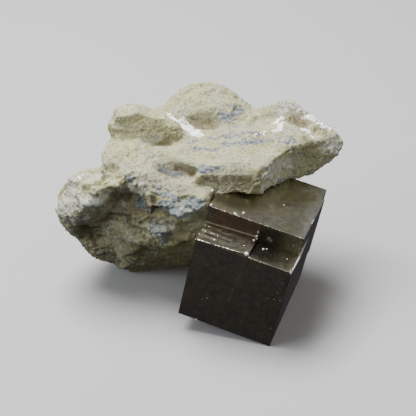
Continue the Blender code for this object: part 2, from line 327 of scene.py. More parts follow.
# Broken faces that are nearly flat: middle, direction they face, reach, how flat
marlFlats = {
    "nose front": ((-7.4, 15.4, 25.85), (-0.017, -0.906, 0.422), 6.4, 0.9),
    "nose side": ((0.6, 18.4, 26.6), (0.745, -0.667, 0.031), 4.6, 0.85),
    "right side": ((6.6, 23.4, 27.0), (0.355, -0.933, -0.046), 3.6, 0.6),
    "slab front": ((-23.5, 26.2, 31.9), (-0.018, -0.95, 0.31), 5.6, 0.85),
    "slab top": ((-26.6, 28.8, 33.8), (-0.19, -0.05, 0.98), 3.0, 0.9),
    "slab left": ((-28.7, 28.4, 32.9), (-0.90, -0.2, 0.38), 2.2, 0.8),
    "main top": ((-9.0, 20.0, 29.05), (0, -0.187, 0.982), 9.0, 0.5),
    "shelf top": ((-16.4, 12.6, 24.9), (-0.07, -0.593, 0.802), 4.0, 0.6),
    "right end": ((12.2, 25.4, 27.8), (0.38, -0.80, 0.46), 2.4, 0.7),
    "lobe brow": ((-33.0, 15.4, 21.9), (-0.30, -0.62, 0.725), 3.4, 0.75),
    "ridge brow": ((-29.8, 16.0, 23.6), (-0.10, -0.64, 0.762), 3.0, 0.8),
    "terrace brow": ((-23.8, 14.9, 23.6), (-0.20, -0.64, 0.742), 1.8, 0.7),
    "nose corner": ((-0.6, 16.4, 26.4), (0.15, -0.60, 0.786), 2.1, 0.8),
    "shelf brow": ((-15.2, 10.7, 22.7), (-0.02, -0.68, 0.733), 3.2, 0.7),
    "lobe side": ((-36.0, 16.9, 19.2), (-0.55, -0.68, 0.485), 2.8, 0.6),
    "wall ledge": ((-17.6, 12.9, 17.9), (-0.35, -0.75, 0.56), 1.8, 0.7),
    "wall corner": ((-27.5, 17.0, 12.0), (-0.48, -0.877, 0.0), 4.6, 0.8),
}

# Patches of blue-grey spar, pale marl with painted light, white spar, and dark olive that is stain in part
# and painted shade in part: start, end, reach, strength
sparPlaces = (
    ((-8.6, 29.8, 31.3), (-5.8, 32.4, 32.0), 1.4, 0.75),
    ((-14.8, 24.2, 29.6), (-5.3, 24.9, 30.1), 0.5, 1.0),
    ((-8.0, 25.4, 30.0), (-0.3, 26.4, 30.1), 0.5, 0.9),
    ((-7.9, 23.0, 29.6), (-2.3, 23.7, 29.7), 0.6, 1.0),
    ((-14.6, 21.7, 29.3), (-9.4, 21.6, 29.1), 0.6, 0.9),
    ((-12.0, 17.4, 27.7), (-9.1, 17.0, 28.0), 0.5, 1.0),
    ((-13.5, 21.8, 29.4), (-9.0, 21.0, 29.3), 0.8, 0.7),
    ((-7.6, 22.6, 29.6), (-4.4, 22.0, 29.4), 0.7, 0.6),
    ((-18.1, 11.7, 24.3), (-13.6, 10.7, 23.8), 1.5, 0.8),
    ((-20.0, 13.6, 25.3), (-15.4, 12.2, 25.0), 1.2, 0.55),
    ((-19.2, 17.6, 27.2), (-16.8, 17.0, 27.0), 0.9, 0.9),
    ((2.0, 24.6, 30.1), (4.4, 24.6, 30.2), 0.8, 0.7),
    ((-12.7, 16.9, 27.4), (-9.1, 17.1, 28.1), 0.9, 0.9),
    ((-19.9, 17.2, 27.1), (-19.2, 18.4, 27.3), 1.0, 0.85),
    ((-2.0, 23.8, 29.5), (0.0, 24.6, 29.7), 0.8, 0.9),
    ((3.2, 23.2, 29.9), (4.8, 23.8, 29.9), 0.7, 0.8),
    ((-25.9, 15.6, 26.4), (-25.1, 15.6, 26.8), 0.7, 0.8),
    ((-23.8, 15.2, 21.4), (-22.0, 13.6, 21.4), 0.9, 0.9),
    ((-20.0, 12.0, 23.0), (-16.9, 10.2, 22.5), 1.0, 1.0),
    ((-16.7, 10.1, 22.8), (-12.6, 11.2, 23.4), 0.9, 1.0),
    ((-17.0, 11.9, 24.6), (-13.6, 11.2, 24.0), 0.8, 0.75),
    ((-21.2, 13.2, 17.6), (-18.9, 12.8, 15.4), 1.2, 0.7),
    ((-26.4, 15.0, 18.1), (-26.2, 15.0, 18.2), 0.5, 0.9),
    ((-36.4, 16.9, 20.6), (-35.0, 16.6, 20.0), 0.9, 0.5),
    ((-34.0, 16.0, 22.6), (-27.5, 16.8, 25.4), 0.8, 0.45),
    ((3.6, 22.0, 28.7), (9.0, 24.0, 26.4), 1.0, 0.25),
    ((-2.6, 14.9, 27.2), (-1.9, 15.1, 27.4), 0.5, 0.8),
    ((-1.6, 16.0, 23.8), (4.4, 22.2, 22.6), 0.7, 0.7),
    ((-21.5, 13.2, 12.2), (-19.8, 13.2, 12.0), 0.6, 0.8),
    ((-32.6, 21.2, 6.6), (-32.0, 21.2, 6.2), 0.7, 0.7),
)
# Pale marl is partly the rock's own colour and partly painted light: it brightens faces in shade under the
# shelf and on the wall below it
paleAndPaintedLightPlaces = (
    ((-38.0, 18.4, 17.6), (-33.0, 15.4, 21.6), 1.5, 0.8),
    ((-38.6, 19.4, 18.0), (-36.4, 18.6, 21.4), 1.6, 0.9),
    ((-37.0, 20.0, 22.6), (-32.0, 18.6, 25.2), 1.6, 0.6),
    ((-33.0, 15.4, 22.0), (-24.0, 14.9, 24.6), 1.5, 1.0),
    ((-38.2, 19.0, 16.2), (-34.9, 17.8, 16.0), 1.5, 1.0),
    ((-29.7, 18.8, 15.1), (-29.2, 18.8, 15.1), 0.9, 0.5),
    ((-26.9, 15.2, 13.3), (-26.4, 15.2, 13.3), 0.9, 0.5),
    ((-31.3, 20.9, 6.7), (-30.8, 20.9, 6.7), 1.0, 0.6),
    ((-22.0, 12.9, 16.0), (-21.6, 12.9, 16.0), 0.9, 0.6),
    ((-16.0, 11.0, 22.6), (-12.3, 12.2, 21.9), 1.0, 0.9),
    ((3.8, 32.5, 32.5), (5.6, 32.3, 32.5), 1.5, 1.0),
    ((-0.8, 16.0, 26.8), (1.2, 17.4, 25.4), 0.9, 1.0),
    ((-1.2, 15.9, 24.4), (3.2, 20.2, 23.2), 0.7, 1.0),
    ((0.2, 17.6, 27.2), (3.8, 21.4, 26.0), 1.3, 0.8),
    ((-15.0, 12.4, 20.6), (-12.8, 12.4, 21.4), 1.3, 0.9),
    ((-20.2, 13.2, 17.8), (-17.4, 13.3, 17.2), 1.3, 0.9),
    ((-19.6, 12.9, 16.6), (-14.2, 12.6, 20.6), 1.1, 0.8),
    ((11.7, 25.0, 28.3), (13.2, 25.4, 27.6), 1.2, 0.9),
)
whitePlaces = (
    ((-17.9, 28.3, 31.6), (-15.6, 28.7, 30.5), 1.2, 1.0),
    ((-15.8, 28.5, 30.4), (-13.2, 26.2, 30.2), 1.0, 1.0),
    ((-2.2, 25.2, 30.3), (2.7, 30.3, 31.2), 0.6, 0.8),
    ((1.4, 26.4, 30.7), (2.4, 27.6, 30.8), 0.8, 0.85),
    ((6.4, 27.0, 30.6), (8.4, 26.0, 29.9), 0.9, 0.7),
    ((8.0, 30.6, 31.6), (11.1, 27.8, 30.4), 0.9, 0.75),
    ((-35.6, 20.1, 24.1), (-34.5, 20.1, 24.4), 0.8, 0.7),
    ((-10.2, 13.8, 25.9), (-12.1, 11.4, 23.8), 0.6, 0.5),
    ((-24.5, 16.9, 27.8), (-23.9, 16.9, 27.8), 0.4, 0.8),
    ((-37.0, 17.2, 18.4), (-33.4, 16.2, 21.8), 0.8, 0.5),
)
# Dark olive is partly the marl's stain and partly painted shade: along the nose's top edge, under the nose
# and beside the crystal's top
oliveStainAndPaintedShadePlaces = (
    ((-13.7, 29.6, 30.7), (-10.9, 29.6, 30.7), 1.5, 1.0),
    ((-18.2, 18.6, 27.2), (-14.6, 17.6, 27.3), 1.2, 0.7),
    ((-17.6, 13.4, 17.6), (-15.0, 13.6, 16.0), 1.8, 0.2),
    ((-23.4, 13.8, 19.3), (-24.5, 14.8, 15.8), 1.5, 0.8),
    ((-28.8, 20.0, 10.5), (-28.0, 18.4, 12.6), 1.4, 0.7),
    ((-26.0, 16.0, 10.6), (-15.5, 13.6, 11.4), 2.0, 0.6),
    ((4.4, 31.2, 31.4), (6.6, 29.8, 31.2), 1.8, 1.0),
    ((-32.2, 21.0, 25.4), (-28.6, 17.8, 27.0), 0.8, 0.9),
    ((-19.6, 17.8, 27.2), (-16.6, 17.0, 27.0), 1.2, 1.0),
    ((-21.6, 24.1, 29.0), (-18.6, 24.3, 29.0), 0.6, 0.8),
    ((-13.3, 27.9, 30.1), (-11.5, 28.4, 30.2), 1.0, 1.0),
    ((-27.4, 15.6, 18.4), (-22.8, 13.9, 19.6), 1.9, 0.9),
    ((-10.7, 12.9, 24.7), (-10.7, 12.9, 24.2), 0.6, 1.0),
    ((10.7, 27.0, 30.0), (11.2, 27.0, 30.0), 1.0, 1.0),
    ((7.3, 24.3, 29.7), (7.8, 24.3, 29.5), 0.9, 1.0),
    ((-2.6, 24.8, 30.1), (-1.6, 24.8, 30.1), 0.8, 0.7),
    ((-12.6, 16.3, 27.0), (-4.5, 15.6, 27.5), 0.6, 1.0),
    ((-11.4, 14.9, 26.0), (-3.2, 14.6, 25.4), 2.0, 0.9),
    ((-0.1, 18.2, 28.5), (0.4, 18.8, 28.5), 0.7, 0.5),
    ((-34.4, 20.6, 12.6), (-32.4, 21.2, 10.8), 1.8, 0.45),
    ((-0.6, 32.4, 31.8), (3.6, 31.0, 31.4), 0.9, 0.5),
)


def bedHeight(point, spacing, waves):
    wander = 0.5 * waves * noise.noise(point / (3 * waves)) + 0.15 * noise.noise(point / 1.3)
    return (point.z - marl["bed slope"] * point.y + wander) / spacing


def brokenFace(point, size):
    # Height of a plane tilted at random in each cell, which breaks the surface into angular faces
    cells = noise.voronoi(point / size)[1]
    return (point / size - cells[0]).dot(noise.cell_vector(cells[0] * 7.3) * 2 - Vector((1, 1, 1)))


def marlOffset(point, normal):
    # How far the surface moves along its normal, in mm
    steep = 1 - abs(normal.z)
    height = sum(amount * noise.noise(point / size) for size, amount in marl["swells"])
    height += (0.5 + 0.5 * steep) * sum(amount * brokenFace(point, size) for size, amount in marl["facets"])
    lumps = noise.voronoi(point / marl["lump size"] + 0.3 * noise.noise_vector(point))[0]
    height += marl["lumps"] * (0.25 + 0.75 * steep) * (lumps[0] - 0.45) * -1
    for spacing, depth, waves in marl["beds"]:
        bed = bedHeight(point, spacing, waves)
        place = Vector((point.x / (4 * spacing), point.y / (4 * spacing), 0))
        here, after = (noise.noise(place + Vector((0, 0, 7.3 * (int(bed) + step)))) for step in (0, 1))
        share = smoothStep(0.72, 1.0, bed - int(bed))
        height += depth * steep * 2 * (here + (after - here) * share)
    step, sharp = marl["terraces"]
    bed = bedHeight(point, step, 2.0)
    part = bed % 1.0
    flat = smoothStep(0.5 - 0.5 * (1 - sharp), 0.5 + 0.5 * (1 - sharp), part)
    patchy = smoothStep(-0.1, 0.3, noise.noise(point / 5 + Vector((4, 2, 8))))
    height += 0.6 * step * (flat - part) * (1 - steep) * patchy
    for start, end, reach, depth in marlRelief.values():
        distance = distanceToLine(point, Vector(start), Vector(end))
        if distance < 2 * reach:
            height -= depth * max(0.0, 1 - (distance / (2 * reach)) ** 2) ** 2
    return height


def flattened(point, normal):
    for middle, facing, reach, flat in marlFlats.values():
        facing = Vector(facing)
        away = point - Vector(middle)
        height = away.dot(facing)
        if normal.dot(facing) > 0.3 and abs(height) < 1.8 and away.length < reach:
            share = smoothStep(0.3, 0.6, normal.dot(facing))
            share *= 1 - smoothStep(0.7 * reach, reach, away.length)
            point = point - facing * height * flat * share
    return point


def placeStrength(point, places):
    point = point + 0.9 * noise.noise_vector(point / 1.5) + 0.4 * noise.noise_vector(point / 0.5)
    best = 0.0
    for start, end, reach, strength in places:
        distance = distanceToLine(point, Vector(start), Vector(end))
        best = max(best, strength * (1 - smoothStep(0.3 * reach, 1.7 * reach, distance)))
    return best


crystal = {
    "width": 18.0, "depth": 23.5, "height": 21.25, "front height": 17.5, "ledge": 5.7,
    "turn": -17.8, "roll": 11.5,
}
turned = Matrix.Rotation(radians(crystal["turn"]), 3, "Z")
rolled = Matrix.Rotation(radians(crystal["roll"]), 3, "Y")
crystalAxes = turned @ rolled


def fromCrystal(point):
    # The nearest place on the crystal, and the way from there to the point, both in the crystal's own axes
    local = crystalAxes.transposed() @ point
    low = Vector((-crystal["width"], 0, 0))
    high = Vector((0, crystal["depth"], crystal["height"]))
    nearest = Vector(max(a, min(b, c)) for a, b, c in zip(low, local, high))
    return nearest, local - nearest


def towardsCrystal(before, after):
    # Closes the clearance of the solids where the rock holds the crystal, and keeps the rest clear of it
    hold = 1 - smoothStep(marl["gap"] * 1.2, marl["gap"] * 2.2, fromCrystal(before)[1].length)
    nearest, away = fromCrystal(after)
    distance = away.length
    if distance == 0 or distance > 4 * marl["gap"]:
        return after
    kept = max(distance, marl["gap"] * 0.8) * (1 - hold) + marl["contact"] * hold
    return crystalAxes @ (nearest + away * (kept / distance))


def insideBox(co):
    margin = 0.01 * mm
    sides = zip(cadLow, co, cadHigh)
    return Vector(max(low + margin, min(high - margin, value)) for low, value, high in sides)


def makeMarl():
    piece = copyOfNode("marl_matrix", "marl_surface")
    step = piece.modifiers.new("fine mesh", "REMESH")
    step.mode = "VOXEL"
    step.voxel_size = marl["voxel"] * mm
    soften = piece.modifiers.new("soften", "SMOOTH")
    soften.factor = 0.5
    soften.iterations = 2
    settle(piece)
    mesh = piece.data
    say("marl faces", len(mesh.polygons))
    mesh.update()
    stored = {"spar": [], "pale": [], "white": [], "olive": [], "hollow": []}
    moved = []
    for vert in mesh.vertices:
        point = (vert.co - home) / mm
        offset = marlOffset(point, vert.normal)
        keep = smoothStep(0.0, marl["foot blend"], point.z)
        rough = point + vert.normal * offset * keep
        crust = placeStrength(point, sparPlaces)
        crumbly = marl["spar crumbs"] * crust + marl["steep crumbs"] * (1 - abs(vert.normal.z))
        crumbly *= keep * noise.noise(point / marl["crumb size"])
        target = towardsCrystal(point, flattened(rough, vert.normal) + vert.normal * crumbly)
        moved.append(insideBox(benchPoint(*target)))
        stored["spar"].append(crust)
        stored["pale"].append(placeStrength(point, paleAndPaintedLightPlaces))
        stored["white"].append(placeStrength(point, whitePlaces))
        stored["olive"].append(placeStrength(point, oliveStainAndPaintedShadePlaces))
        # relief depth, kept for the painted shade in the hollows
        stored["hollow"].append(-offset)
    for vert, co in zip(mesh.vertices, moved):
        vert.co = co
    for name, values in stored.items():
        storeFloats(mesh, name, values)
    mesh.polygons.foreach_set("use_smooth", [True] * len(mesh.polygons))
    mesh.materials.append(marlMaterial())
    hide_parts("marl_matrix")
    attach(piece, "root")
    return piece


marlTones = {
    "cream": (0.60, 0.575, 0.32, 1), "tan": (0.44, 0.41, 0.19, 1), "grey": (0.545, 0.55, 0.41, 1),
    # hollow is painted shade for sunken relief
    "light": (0.76, 0.73, 0.50, 1), "dark": (0.42, 0.41, 0.27, 1), "hollow": (0.29, 0.24, 0.14, 1),
    "olive": (0.21, 0.185, 0.11, 1), "pale": (0.83, 0.83, 0.76, 1), "white": (0.88, 0.88, 0.87, 1),
    "slate": (0.10, 0.135, 0.17, 1), "blue": (0.37, 0.43, 0.48, 1), "sugar": (0.66, 0.67, 0.62, 1),
    "stained and shaded slate": (0.08, 0.09, 0.095, 1),
}


def marlMaterial():
    tree = Tree("marl")
    tones = marlTones
    here = tree.millimetres()
    broad = tree.noise(here, 0.22, 4, 0.6)
    middle = tree.noise(here, 1.1, 5, 0.65)
    fine = tree.noise(here, 2.6, 4, 0.8)
    bands = tree.noise(tree.millimetres((0.22, 0.22, 1.0)), 0.9, 4, 0.6)
    colour = tree.mixColour(tree.ramp(broad, 0.35, 0.65), tones["cream"], tones["grey"])
    colour = tree.mixColour(tree.ramp(bands, 0.50, 0.72), colour, tones["tan"])
    light = tree.maths("MULTIPLY", tree.ramp(middle, 0.48, 0.7), 0.6)
    colour = tree.mixColour(light, colour, tones["light"])
    dark = tree.maths("MULTIPLY", tree.ramp(middle, 0.5, 0.3), 0.5)
    colour = tree.mixColour(dark, colour, tones["dark"])
    # painted shade: darker towards the hollow tone where the relief sinks in
    low = tree.ramp(tree.attribute("hollow"), 0.1, 0.7)
    colour = tree.mixColour(tree.maths("MULTIPLY", low, 0.75), colour, tones["hollow"])
    # olive: a stain in part, and painted shade on and under the nose
    olive = tree.maths("MULTIPLY", tree.attribute("olive"), tree.ramp(middle, 0.3, 0.6))
    colour = tree.mixColour(tree.maths("MULTIPLY", olive, 0.9), colour, tones["olive"])
    # pale: own colour in part, and painted light on faces in shade
    pale = tree.maths("MULTIPLY", tree.attribute("pale"), tree.ramp(middle, 0.3, 0.55))
    colour = tree.mixColour(tree.maths("MULTIPLY", pale, 0.85), colour, tones["pale"])
    colour = tree.shaded(colour, tree.span(fine, (0.3, 0.7), (0.62, 1.25)))
    sparShare = sparMask(tree, here)
    sparTone = tree.mixColour(tree.ramp(fine, 0.38, 0.62), tones["slate"], tones["blue"])
    sparTone = tree.mixColour(tree.ramp(fine, 0.56, 0.66), sparTone, tones["sugar"])
    # spar under the olive patches is darkened too, stain and painted shade alike
    sparTone = tree.mixColour(olive, sparTone, tones["stained and shaded slate"])
    colour = tree.mixColour(tree.maths("MULTIPLY", sparShare, 0.85), colour, sparTone)
    ragged = tree.noise(tree.millimetres((0.8, 1.2, 1.2)), 1.5, 4, 0.75)
    whiteFade = tree.maths("ADD", tree.attribute("white"), tree.maths("MULTIPLY", ragged, 2.0))
    whiteShare = tree.ramp(whiteFade, 1.45, 1.75)
    colour = tree.mixColour(tree.maths("MULTIPLY", whiteShare, 0.9), colour, tones["white"])
    tree.put(tree.shader.inputs["Base Color"], colour)
    glossy = tree.maths("MAXIMUM", sparShare, whiteShare)
    tree.put(tree.shader.inputs["Roughness"], tree.span(glossy, end=(0.92, 0.5)))
    tree.shader.inputs["Specular IOR Level"].default_value = 0.35
    bump = tree.add("ShaderNodeBump", {"Height": fine, "Strength": 1.0, "Distance": 0.3 * mm})
    tree.put(tree.shader.inputs["Normal"], bump.outputs[0])
    return tree.owner


def sparMask(tree, here):
    # Blue-grey crystals: ragged flecks drawn out along the beds, thick in the listed places, rare elsewhere
    flat = tree.millimetres((0.55, 0.8, 1.3))
    flecks = tree.noise(flat, 1.0, 3, 0.6)
    dots = tree.noise(here, 2.2, 3, 0.75)
    total = tree.maths("ADD", tree.maths("MULTIPLY", tree.attribute("spar"), 0.42), flecks)
    total = tree.maths("ADD", total, tree.maths("MULTIPLY", tree.maths("SUBTRACT", dots, 0.5), 0.55))
    return tree.ramp(total, 0.68, 0.78)


marlPiece = makeMarl()
say("marl")


# What is strewn over the marl: grains, left out where spar shows, and small plates of white spar

grains = {"Density": 1.5e6, "Smallest": 0.16 * mm, "Largest": 0.40 * mm, "Seed": 7}
plates = {"Density": 2.2e7, "Smallest": 0.12 * mm, "Largest": 0.45 * mm, "Seed": 3}


def strewTree(name, shape, turns, share, material):
    tree = Tree(name, "geometry")
    made = tree.owner
    kinds = {"Geometry": "NodeSocketGeometry", "Density": "NodeSocketFloat", "Smallest": "NodeSocketFloat",
             "Largest": "NodeSocketFloat", "Seed": "NodeSocketInt"}
    for socket, kind in kinds.items():
        made.interface.new_socket(socket, in_out="INPUT", socket_type=kind)
    made.interface.new_socket("Geometry", in_out="OUTPUT", socket_type="NodeSocketGeometry")
    given = tree.add("NodeGroupInput").outputs
    points = tree.add("GeometryNodeDistributePointsOnFaces", {
        "Mesh": given["Geometry"], "Density": tree.maths("MULTIPLY", given["Density"], share(tree)),
        "Seed": given["Seed"]})
    turn = tree.add("FunctionNodeRandomValue", {0: turns[0], 1: turns[1]}, data_type="FLOAT_VECTOR")
    size = tree.add("FunctionNodeRandomValue", {2: given["Smallest"], 3: given["Largest"]}, data_type="FLOAT")
    placed = tree.add("GeometryNodeInstanceOnPoints", {
        "Points": points.outputs[0], "Instance": shape(tree), "Rotation": turn.outputs[0],
        "Scale": size.outputs[1]})
    real = tree.add("GeometryNodeRealizeInstances", {0: placed.outputs[0]})
    finish = tree.add("GeometryNodeSetMaterial", {"Geometry": real.outputs[0], "Material": material})
    tree.add("NodeGroupOutput", {0: finish.outputs[0]})
    return made


def storedValue(tree, name):
    return tree.add("GeometryNodeInputNamedAttribute", {0: name}, data_type="FLOAT").outputs[0]


def grainShape(tree):
    return tree.add("GeometryNodeMeshIcoSphere", {"Radius": 0.5, "Subdivisions": 1}).outputs[0]


def grainShare(tree):
    covered = tree.maths("MAXIMUM", storedValue(tree, "spar"), storedValue(tree, "white"))
    return tree.maths("SUBTRACT", 1.0, covered, clamp=True)


def plateShape(tree):
    return tree.add("GeometryNodeMeshCylinder", {"Vertices": 6, "Radius": 0.5, "Depth": 0.25}).outputs[0]


def plateShare(tree):
    return tree.ramp(storedValue(tree, "white"), 0.45, 0.95)


def plateMaterial():
    tree = Tree("white spar")
    tree.shader.inputs["Base Color"].default_value = (0.93, 0.94, 0.95, 1)
    tree.shader.inputs["Roughness"].default_value = 0.3
    tree.shader.inputs["Specular IOR Level"].default_value = 0.9
    return tree.owner


def useTree(piece, made, values):
    step = piece.modifiers.new(made.name, "NODES")
    step.node_group = made
    for socket in made.interface.items_tree:
        if socket.in_out == "INPUT" and socket.name in values:
            step[socket.identifier] = values[socket.name]


def strew(name, made, values):
    piece = bpy.data.objects.new(name, marlPiece.data.copy())
    bpy.context.scene.collection.objects.link(piece)
    useTree(piece, made, values)
    settle(piece)
    for vert in piece.data.vertices:
        vert.co = insideBox(vert.co)
    say(name, "faces", len(piece.data.polygons))
    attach(piece, "root")


anyTurn = ((0, 0, 0), (6.28, 6.28, 6.28))
towardsLamp = ((0.28, -0.27, 0), (0.56, 0.0, 0))     # tilts that throw the overhead light forwards
grainTree = strewTree("grains", grainShape, anyTurn, grainShare, marlPiece.data.materials[0])
strew("marl_grains", grainTree, grains)
plateTree = strewTree("plates", plateShape, towardsLamp, plateShare, plateMaterial())
strew("white_plates", plateTree, plates)


# Pyrite

pyrite = {
    "grid": 0.3,
    "sliver": 0.02,
    "edge strip": 0.10,
    "edge wear": (0.024, 0.045),
    "lined up to": 6.4,                               # the faces in view are cut finer as far back as this
    "scuff": {"reach": 0.09, "lip": 0.7, "lip band": 0.2, "past lip": 0.5, "corner": (0.1, 0.5), "dents": 9},
    "terraces": {"length": 9.9, "tilt": 0.0577, "rise": 0.08, "slope": 0.42,
                 "edges": ((1.7, 1.0), (3.2, 2.1), (4.8, 3.3))},
    # The thin plate on the right face
    "lip": {"thick": 0.28, "widest": 5.7, "end": 11.5, "top": 17.45, "fade": 5.0},
    "striation": {"Across": 1.9, "Along": 0.09, "Depth": 0.008, "Seed": 4.0},
}

# Small pits in the front face: place across and up, radius, depth
frontPits = (
    (-14.27, 5.12, 0.22, 0.05), (-13.42, 5.74, 0.22, 0.05), (-2.72, 10.54, 0.18, 0.05),
    (-1.48, 12.51, 0.20, 0.06), (-1.08, 14.78, 0.18, 0.05), (-0.55, 10.92, 0.2, 0.05),
    (-1.39, 13.72, 0.16, 0.04), (-1.64, 10.79, 0.22, 0.06), (-2.1, 9.9, 0.15, 0.04),
    (-0.7, 4.22, 0.2, 0.05), (-2.3, 11.6, 0.14, 0.04), (-0.9, 9.2, 0.15, 0.04),
)
# Scratches on the front face: start, end, half width, depth
frontScratches = (
    ((-11.65, 16.6), (-9.86, 15.31), 0.10, 0.03), ((-9.28, 9.98), (-9.5, 6.54), 0.10, 0.03),
    ((-8.57, 16.33), (-8.29, 17.45), 0.08, 0.02), ((-12.6, 14.1), (-11.8, 14.2), 0.12, 0.02),
)


def towardsOwnAxes():
    return crystalAxes.to_4x4().transposed() @ Matrix.Scale(1 / mm, 4) @ Matrix.Translation(-home)


def cutAcross(bm, axis, places, faces=None):
    # Cuts the mesh with planes square to one axis, so that it can bend between them
    normal = Vector((0, 0, 0))
    normal[axis] = 1
    for place in places:
        if faces is None:
            parts = bm.verts[:] + bm.edges[:] + bm.faces[:]
        else:
            near = [face for face in bm.faces if faces(face)]
            edges = {edge for face in near for edge in face.edges}
            verts = {vert for face in near for vert in face.verts}
            parts = list(verts) + list(edges) + near
        bmesh.ops.bisect_plane(bm, geom=parts, dist=0.0005, plane_co=normal * place, plane_no=normal)


def steps(low, high, spacing):
    count = round((high - low) / spacing)
    return [low + (high - low) * (step / count) for step in range(1, count)]


def cutCrystal(bm):
    width, depth, height = crystal["width"], crystal["depth"], crystal["height"]
    strip = pyrite["edge strip"]
    across = steps(-width, 0, pyrite["grid"]) + [-width + strip, -strip]
    back = steps(0, crystal["ledge"], pyrite["grid"]) + steps(crystal["ledge"], depth, pyrite["grid"])
    back += [strip, crystal["ledge"] + strip, depth - strip]
    up = steps(0, crystal["front height"], pyrite["grid"])
    up += steps(crystal["front height"], height, pyrite["grid"])
    up += [strip, crystal["front height"] - strip, height - strip, pyrite["lip"]["top"]]
    up.append(crystal["front height"])
    for axis, places in enumerate((across, back, up)):
        cutAcross(bm, axis, places)

    def showing(face):
        middle = face.calc_center_median()
        return middle.y < pyrite["lined up to"] and (face.normal.y < -0.9 or face.normal.z > 0.9)

    half = pyrite["grid"] / 2
    cutAcross(bm, 0, [place + half for place in steps(-width, 0, pyrite["grid"])], showing)
    cutAcross(bm, 2, [place + half for place in steps(0, height, pyrite["grid"])], showing)
    cutAcross(bm, 1, [place + half for place in steps(0, crystal["ledge"], pyrite["grid"])], showing)


def striationTree():
    tree = Tree("striations", "geometry")
    made = tree.owner
    made.interface.new_socket("Geometry", in_out="INPUT", socket_type="NodeSocketGeometry")
    for name in ("Across", "Along", "Depth", "Seed"):
        made.interface.new_socket(name, in_out="INPUT", socket_type="NodeSocketFloat")
    made.interface.new_socket("Geometry", in_out="OUTPUT", socket_type="NodeSocketGeometry")
    given = tree.add("NodeGroupInput").outputs
    place = tree.add("ShaderNodeSeparateXYZ", {0: tree.add("GeometryNodeInputPosition").outputs[0]}).outputs
    normal = tree.add("GeometryNodeInputNormal").outputs[0]
    facing = tree.add("ShaderNodeSeparateXYZ", {0: normal}).outputs
    total = 0.0
    # Each face is lined in one direction: the sides front to back, the front up and down, the top across
    for facingAxis, scales in ((0, ("Along", "Along", "Across")), (1, ("Across", "Along", "Along")),
                               (2, ("Along", "Across", "Along"))):
        parts = {axis: tree.maths("MULTIPLY", place[axis], given[scale]) for axis, scale in enumerate(scales)}
        vector = tree.add("ShaderNodeCombineXYZ", parts).outputs[0]
        lines = tree.add("ShaderNodeTexNoise", {
            "Vector": vector, "W": given["Seed"], "Scale": 1.0, "Detail": 3.0, "Roughness": 0.6},
            noise_dimensions="4D").outputs[0]
        share = tree.maths("ABSOLUTE", facing[facingAxis])
        total = tree.maths("ADD", total, tree.maths("MULTIPLY", share, tree.maths("SUBTRACT", lines, 0.5)))
    offset = tree.add("ShaderNodeVectorMath", {0: normal}, operation="SCALE")
    tree.put(offset.inputs["Scale"], tree.maths("MULTIPLY", total, given["Depth"]))
    shifted = tree.add("GeometryNodeSetPosition", {
        "Geometry": given["Geometry"], "Offset": offset.outputs[0]})
    realized = tree.add("GeometryNodeRealizeInstances", {0: shifted.outputs[0]})
    finish = tree.add("GeometryNodeSetMaterial", {"Geometry": realized.outputs[0], "Material": pyriteSkin})
    tree.add("NodeGroupOutput", {0: finish.outputs[0]})
    return made


def frontDents(across, up):
    # Pits and scratches, as depth in mm
    dent = 0.0
    for x, z, radius, depth in frontPits:
        distance = ((across - x) ** 2 + (up - z) ** 2) ** 0.5
        if distance < radius:
            dent += depth * (1 - (distance / radius) ** 2)
    spot = Vector((across, up, 0))
    for start, end, half, depth in frontScratches:
        distance = distanceToLine(spot, Vector((*start, 0)), Vector((*end, 0)))
        if distance < half:
            dent += depth * (1 - distance / half)
    return dent


def onTerraces(point):
    return (0.1 < point.y < crystal["ledge"] - 0.01 and point.x < -8.0
            and crystal["front height"] + 0.001 < point.z < 19)


def terraceHeight(across, back):
    # The thin plates on the ledge, with their edges rounded down to soft slopes
    fan = pyrite["terraces"]
    share = (across + crystal["width"]) / fan["length"]
    height = crystal["front height"] + share * fan["length"] * fan["tilt"]
    for left, right in fan["edges"]:
        edge = left + (right - left) * share + 0.12 * noise.noise(Vector((across * 0.9, left, 3)))
        slope = fan["slope"] * (1 + share + 0.6 * noise.noise(Vector((across * 0.7, left, 9))))
        height += fan["rise"] * smoothStep(edge - slope, edge + slope, back)
    return height


def lipThickness(back, up):
    lip = pyrite["lip"]
    if up > lip["top"] + 0.001:
        return 0.0
    along = min(back / lip["widest"], (lip["end"] - back) / (lip["end"] - lip["widest"]))
    return lip["thick"] * max(0.0, along) * smoothStep(0, 1, 1 - (lip["top"] - up) / lip["fade"])


def edgeScuff(across, back, up):
    # The lip's upper edge and the rubbed front right edge
    lip, scuff = pyrite["lip"], pyrite["scuff"]
    atRight = across > -scuff["reach"]
    onLip = atRight and abs(up - lip["top"]) < scuff["lip band"] and back < lip["end"] + scuff["past lip"]
    onCorner = atRight and back < scuff["reach"]
    least, patches = scuff["corner"]
    rubbed = least + patches * max(0.0, noise.noise(Vector((0, 0, up * 0.9))))
    return max(scuff["lip"] * onLip, onCorner * rubbed)


# Soft edges of the marks on the crystal, in its own axes: where each starts and where it is full
markEdges = {
    "riser front": (5.5, 5.68), "riser back": (5.72, 5.9), "riser foot": (17.5, 17.7),
    "tarnish left": (-17.2, -16.8), "tarnish right": (-8.4, -7.8),
    "step front": (0.1, 0.9), "step top": (20.2, 21.2),
    "terraces across": (-16, -10), "terraces back": (0.5, 2.5),
    "blot left": (-8.3, -8.05), "blot right": (-5.2, -1.6),
    "top face": (21.1, 21.2), "far back": (18, 21.5), "far right": (-6, -2),
    "top rim": (-2.5, -0.2), "ledge rim": (-1.5, -0.1),
    "shade back": (6.4, 8.0), "shade right": (-13, -7),
}


def past(name, value):
    return smoothStep(*markEdges[name], value)


